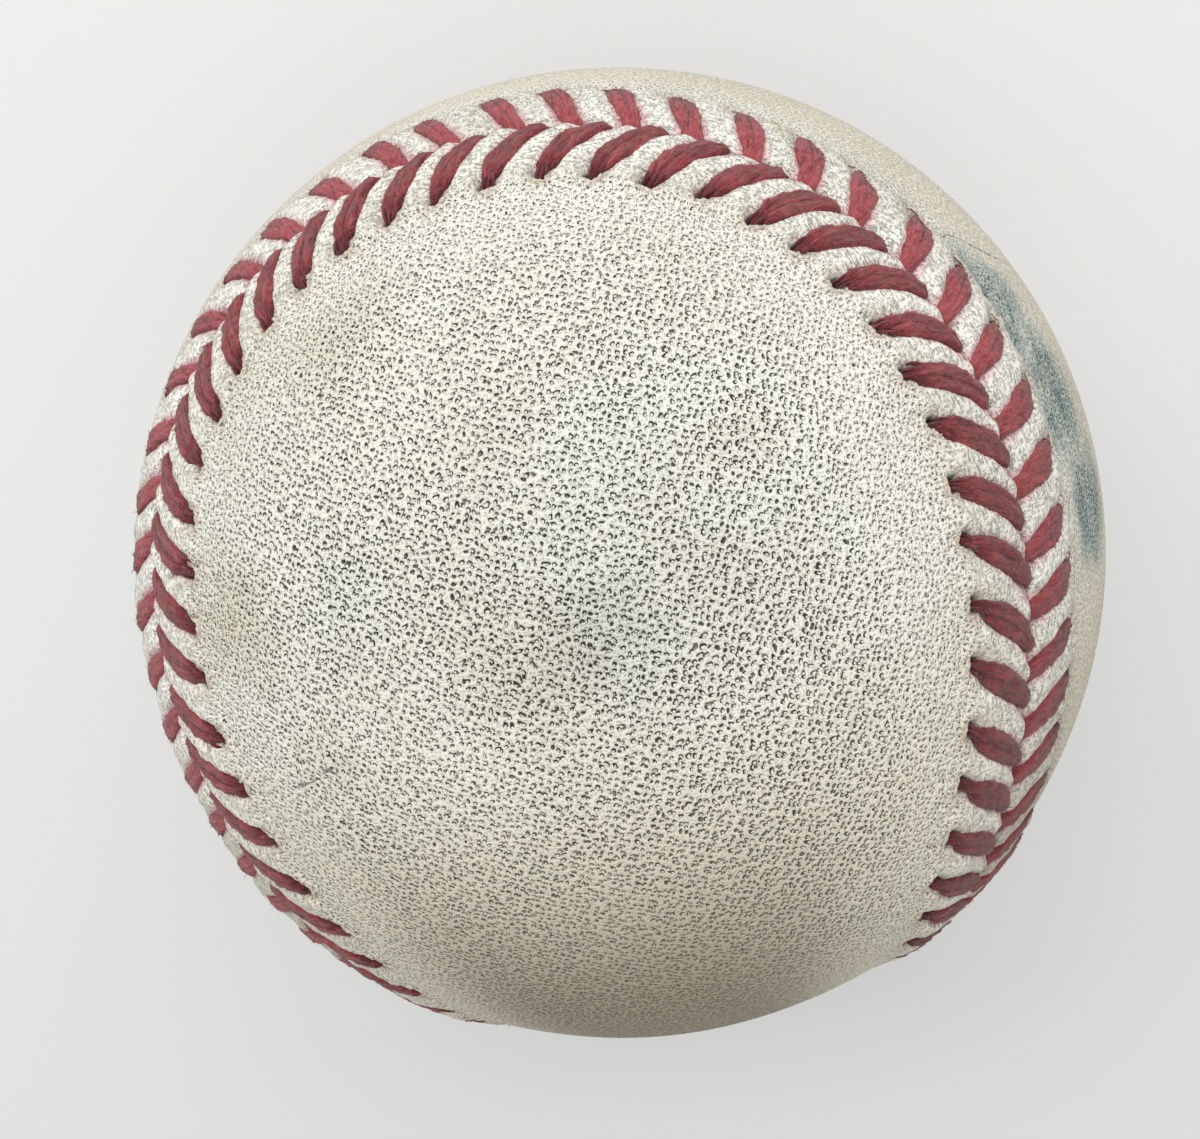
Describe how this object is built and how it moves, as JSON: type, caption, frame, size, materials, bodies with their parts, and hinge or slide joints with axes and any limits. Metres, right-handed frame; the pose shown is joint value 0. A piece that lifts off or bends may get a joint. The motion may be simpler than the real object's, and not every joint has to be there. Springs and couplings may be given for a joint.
{
  "type": "baseball",
  "caption": "Round leather-covered ball: two figure-8 panels joined by a curved seam of chevron stitches, over yarn windings and a cork and rubber centre.",
  "frame": {"origin": "centre of the ball, which is the centre of every layer", "axes": "+Z through the middle of one lobe of panel A, +X through the middle of one lobe of panel B, -Y through the waist of panel A and +Y through the waist of panel B. The ball rests on the lobe at -Z."},
  "size_m": [0.074, 0.074, 0.074],
  "materials": {
    "cork": "granular cork",
    "black_rubber": "moulded, matt",
    "red_rubber": "moulded, matt",
    "grey_wool": "wound yarn",
    "white_wool": "wound yarn",
    "cotton": "fine wound yarn",
    "rubber_cement": "dried cement",
    "leather": "worn white cowhide with open pores",
    "red_thread": "waxed cotton thread, worn"
  },
  "bodies": {
    "root": {"cork_core": "cork", "inner_shell_lower": "black_rubber", "inner_shell_upper": "black_rubber", "shell_gasket": "red_rubber", "outer_shell_lower": "red_rubber", "outer_shell_upper": "red_rubber", "grey_wool_winding": "grey_wool", "white_wool_winding": "white_wool", "outer_wool_winding": "grey_wool", "cotton_winding": "cotton", "cement_coat": "rubber_cement", "cover_panel_a": "leather", "cover_panel_b": "leather", "stitches_a": "red_thread", "stitches_b": "red_thread"}
  },
  "joints": []
}
